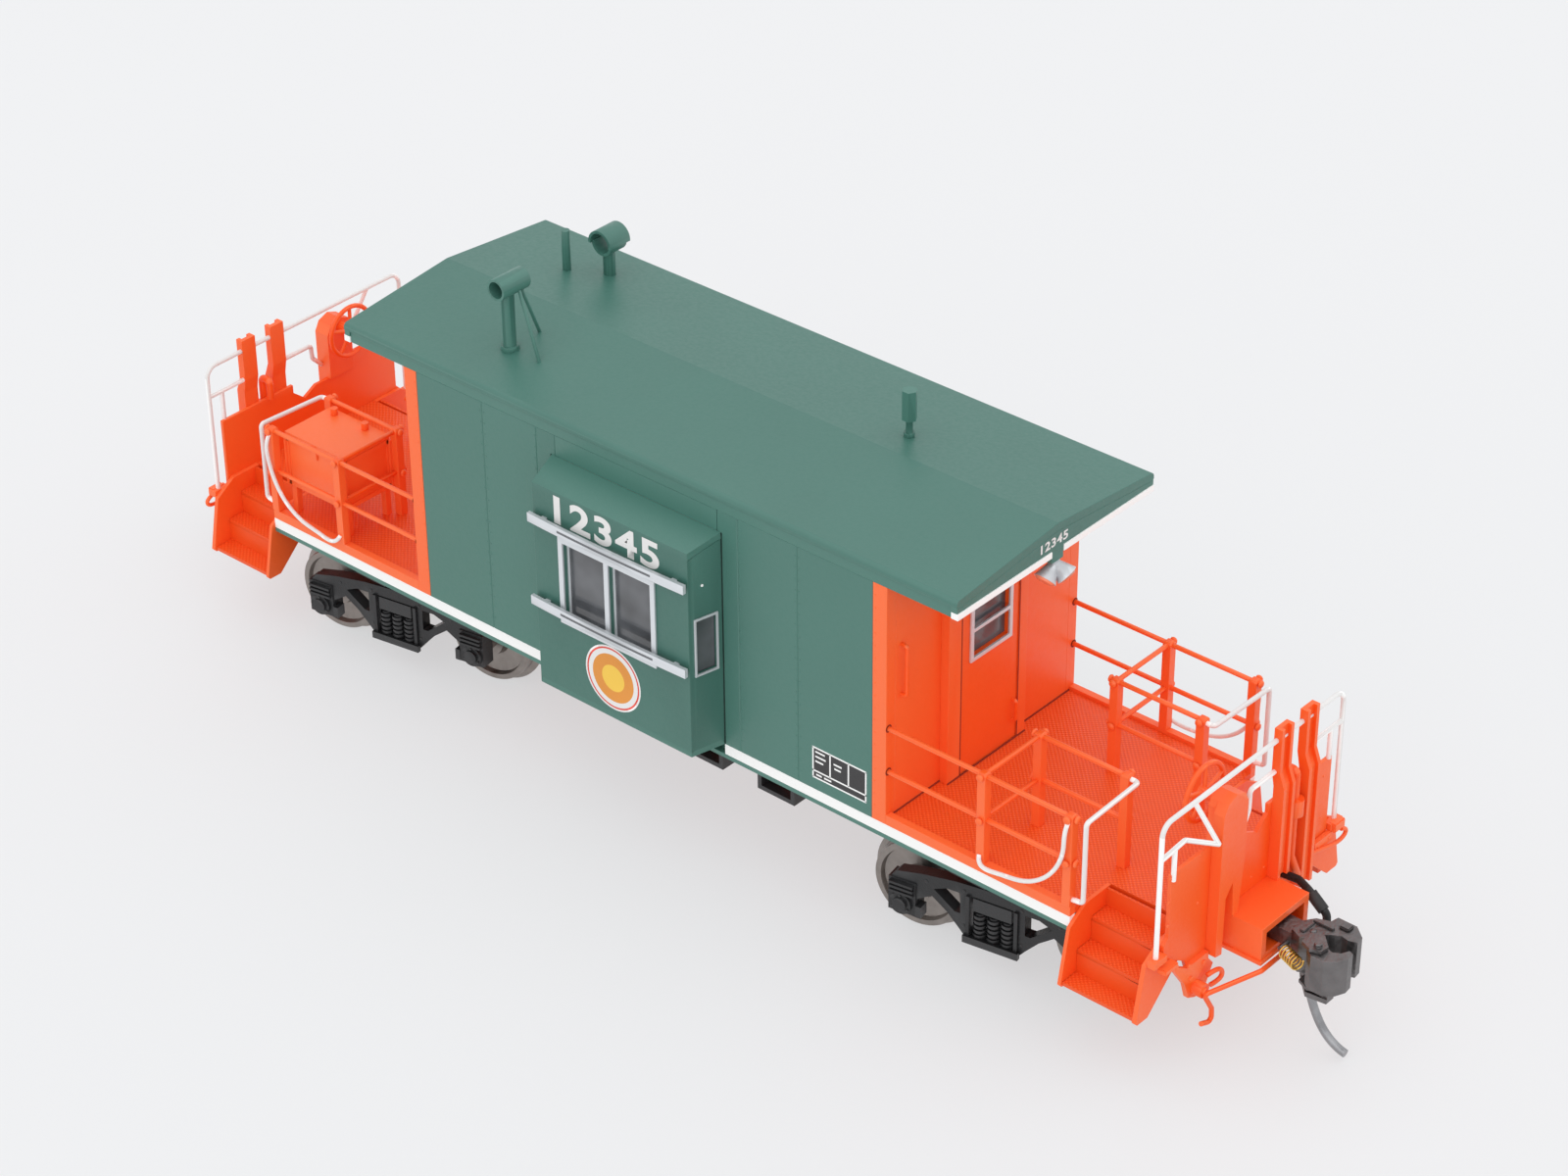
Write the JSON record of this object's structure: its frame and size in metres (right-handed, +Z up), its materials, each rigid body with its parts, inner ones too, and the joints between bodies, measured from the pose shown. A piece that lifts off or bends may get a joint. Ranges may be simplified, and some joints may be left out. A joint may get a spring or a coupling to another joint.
{
  "type": "model caboose",
  "caption": "Scale model bay-window caboose with open end platforms, side bays, steps, swivelling trucks, rolling wheelsets and knuckle couplers.",
  "frame": {"origin": "middle of the car in length and width, at the lowest point of the wheel flanges", "axes": "+X along the car, +Y across it, +Z up"},
  "size_m": [0.151, 0.039, 0.0523],
  "materials": {
    "green_paint": "satin",
    "orange_paint": "satin",
    "white_paint": "satin",
    "silver_trim": "satin",
    "clear_glass": "clear",
    "amber_lens": "clear",
    "black_paint": "satin",
    "black_casting": "satin",
    "black_rubber": "matte",
    "wheel_steel": "turned",
    "coupler_metal": "as cast",
    "gilt_wire": "bright",
    "plated_steel": "bright"
  },
  "bodies": {
    "car_body": {"roof_panel": "green_paint", "roof_eave_strips": "green_paint", "roof_end_fascias": "green_paint", "roof_end_trims": "white_paint", "end_lamps": "silver_trim", "lamp_lenses": "amber_lens", "side_walls": "green_paint", "corner_posts": "orange_paint", "end_walls": "orange_paint", "end_doors": "orange_paint", "door_window_frames": "silver_trim", "bays": "green_paint", "bay_window_frames": "silver_trim", "bay_guide_rails": "silver_trim", "window_panes": "clear_glass", "deck_plate": "orange_paint", "deck_edge_bands": "orange_paint", "sill_stripes": "white_paint", "side_sills": "green_paint", "underframe": "black_paint", "underfloor_gear": "black_paint", "pen_posts": "orange_paint", "pen_rails": "orange_paint", "pen_grab_wires": "white_paint", "wall_grab_irons": "orange_paint", "tool_box": "orange_paint", "step_sides": "orange_paint", "step_treads": "orange_paint", "end_sheets": "orange_paint", "end_posts": "orange_paint", "end_air_pipes": "orange_paint", "brake_housings": "orange_paint", "brake_wheels": "orange_paint", "end_handrails": "white_paint", "air_hoses": "black_rubber", "cut_levers": "orange_paint", "coupler_pockets": "orange_paint", "pocket_lids": "orange_paint", "smoke_jack": "green_paint", "roof_vents": "green_paint", "kingpin_screws": "plated_steel"},
    "truck_a": {"truck_a_side_frames": "black_casting", "truck_a_bolster": "black_casting", "truck_a_springs": "black_casting"},
    "wheels_a_outer": {"truck_a_wheelset_outer": "wheel_steel"},
    "wheels_a_inner": {"truck_a_wheelset_inner": "wheel_steel"},
    "coupler_a": {"coupler_a_body": "coupler_metal", "coupler_a_spring": "gilt_wire"},
    "knuckle_a": {"coupler_a_knuckle": "coupler_metal", "coupler_a_trip_pin": "plated_steel"},
    "truck_b": {"truck_b_side_frames": "black_casting", "truck_b_bolster": "black_casting", "truck_b_springs": "black_casting"},
    "wheels_b_outer": {"truck_b_wheelset_outer": "wheel_steel"},
    "wheels_b_inner": {"truck_b_wheelset_inner": "wheel_steel"},
    "coupler_b": {"coupler_b_body": "coupler_metal", "coupler_b_spring": "gilt_wire"},
    "knuckle_b": {"coupler_b_knuckle": "coupler_metal", "coupler_b_trip_pin": "plated_steel"}
  },
  "joints": [
    {"name": "truck_a_swivel", "type": "hinge", "parent": "car_body", "child": "truck_a", "pos_m": [0.04056, 0, 0.0099], "axis": [0, 0, 1], "range_deg": [-25, 5]},
    {"name": "wheels_a_outer_roll", "type": "hinge", "parent": "truck_a", "child": "wheels_a_outer", "pos_m": [0.05031, 0.00174, 0.00545], "axis": [-0.1754, 0.9845, 0], "continuous": true},
    {"name": "wheels_a_inner_roll", "type": "hinge", "parent": "truck_a", "child": "wheels_a_inner", "pos_m": [0.03081, -0.00174, 0.00545], "axis": [-0.1754, 0.9845, 0], "continuous": true},
    {"name": "coupler_a_swing", "type": "hinge", "parent": "car_body", "child": "coupler_a", "pos_m": [0.0604, 0, 0.0116], "axis": [0, 0, 1], "range_deg": [-10, 10], "stiffness_Nm_per_rad": 0.006},
    {"name": "knuckle_a_open", "type": "hinge", "parent": "coupler_a", "child": "knuckle_a", "pos_m": [0.0726, -0.0019, 0.0107], "axis": [0, 0, 1], "range_deg": [-35, 0], "stiffness_Nm_per_rad": 0.002, "deforming": ["coupler_a_spring"]},
    {"name": "truck_b_swivel", "type": "hinge", "parent": "car_body", "child": "truck_b", "pos_m": [-0.04056, 0, 0.0099], "axis": [0, 0, 1], "range_deg": [-25, 5]},
    {"name": "wheels_b_outer_roll", "type": "hinge", "parent": "truck_b", "child": "wheels_b_outer", "pos_m": [-0.05031, -0.00174, 0.00545], "axis": [-0.1754, 0.9845, 0], "continuous": true},
    {"name": "wheels_b_inner_roll", "type": "hinge", "parent": "truck_b", "child": "wheels_b_inner", "pos_m": [-0.03081, 0.00174, 0.00545], "axis": [-0.1754, 0.9845, 0], "continuous": true},
    {"name": "coupler_b_swing", "type": "hinge", "parent": "car_body", "child": "coupler_b", "pos_m": [-0.0604, 0, 0.0116], "axis": [0, 0, 1], "range_deg": [-10, 10], "stiffness_Nm_per_rad": 0.006},
    {"name": "knuckle_b_open", "type": "hinge", "parent": "coupler_b", "child": "knuckle_b", "pos_m": [-0.0726, 0.0019, 0.0107], "axis": [0, 0, 1], "range_deg": [-35, 0], "stiffness_Nm_per_rad": 0.002, "deforming": ["coupler_b_spring"]}
  ]
}
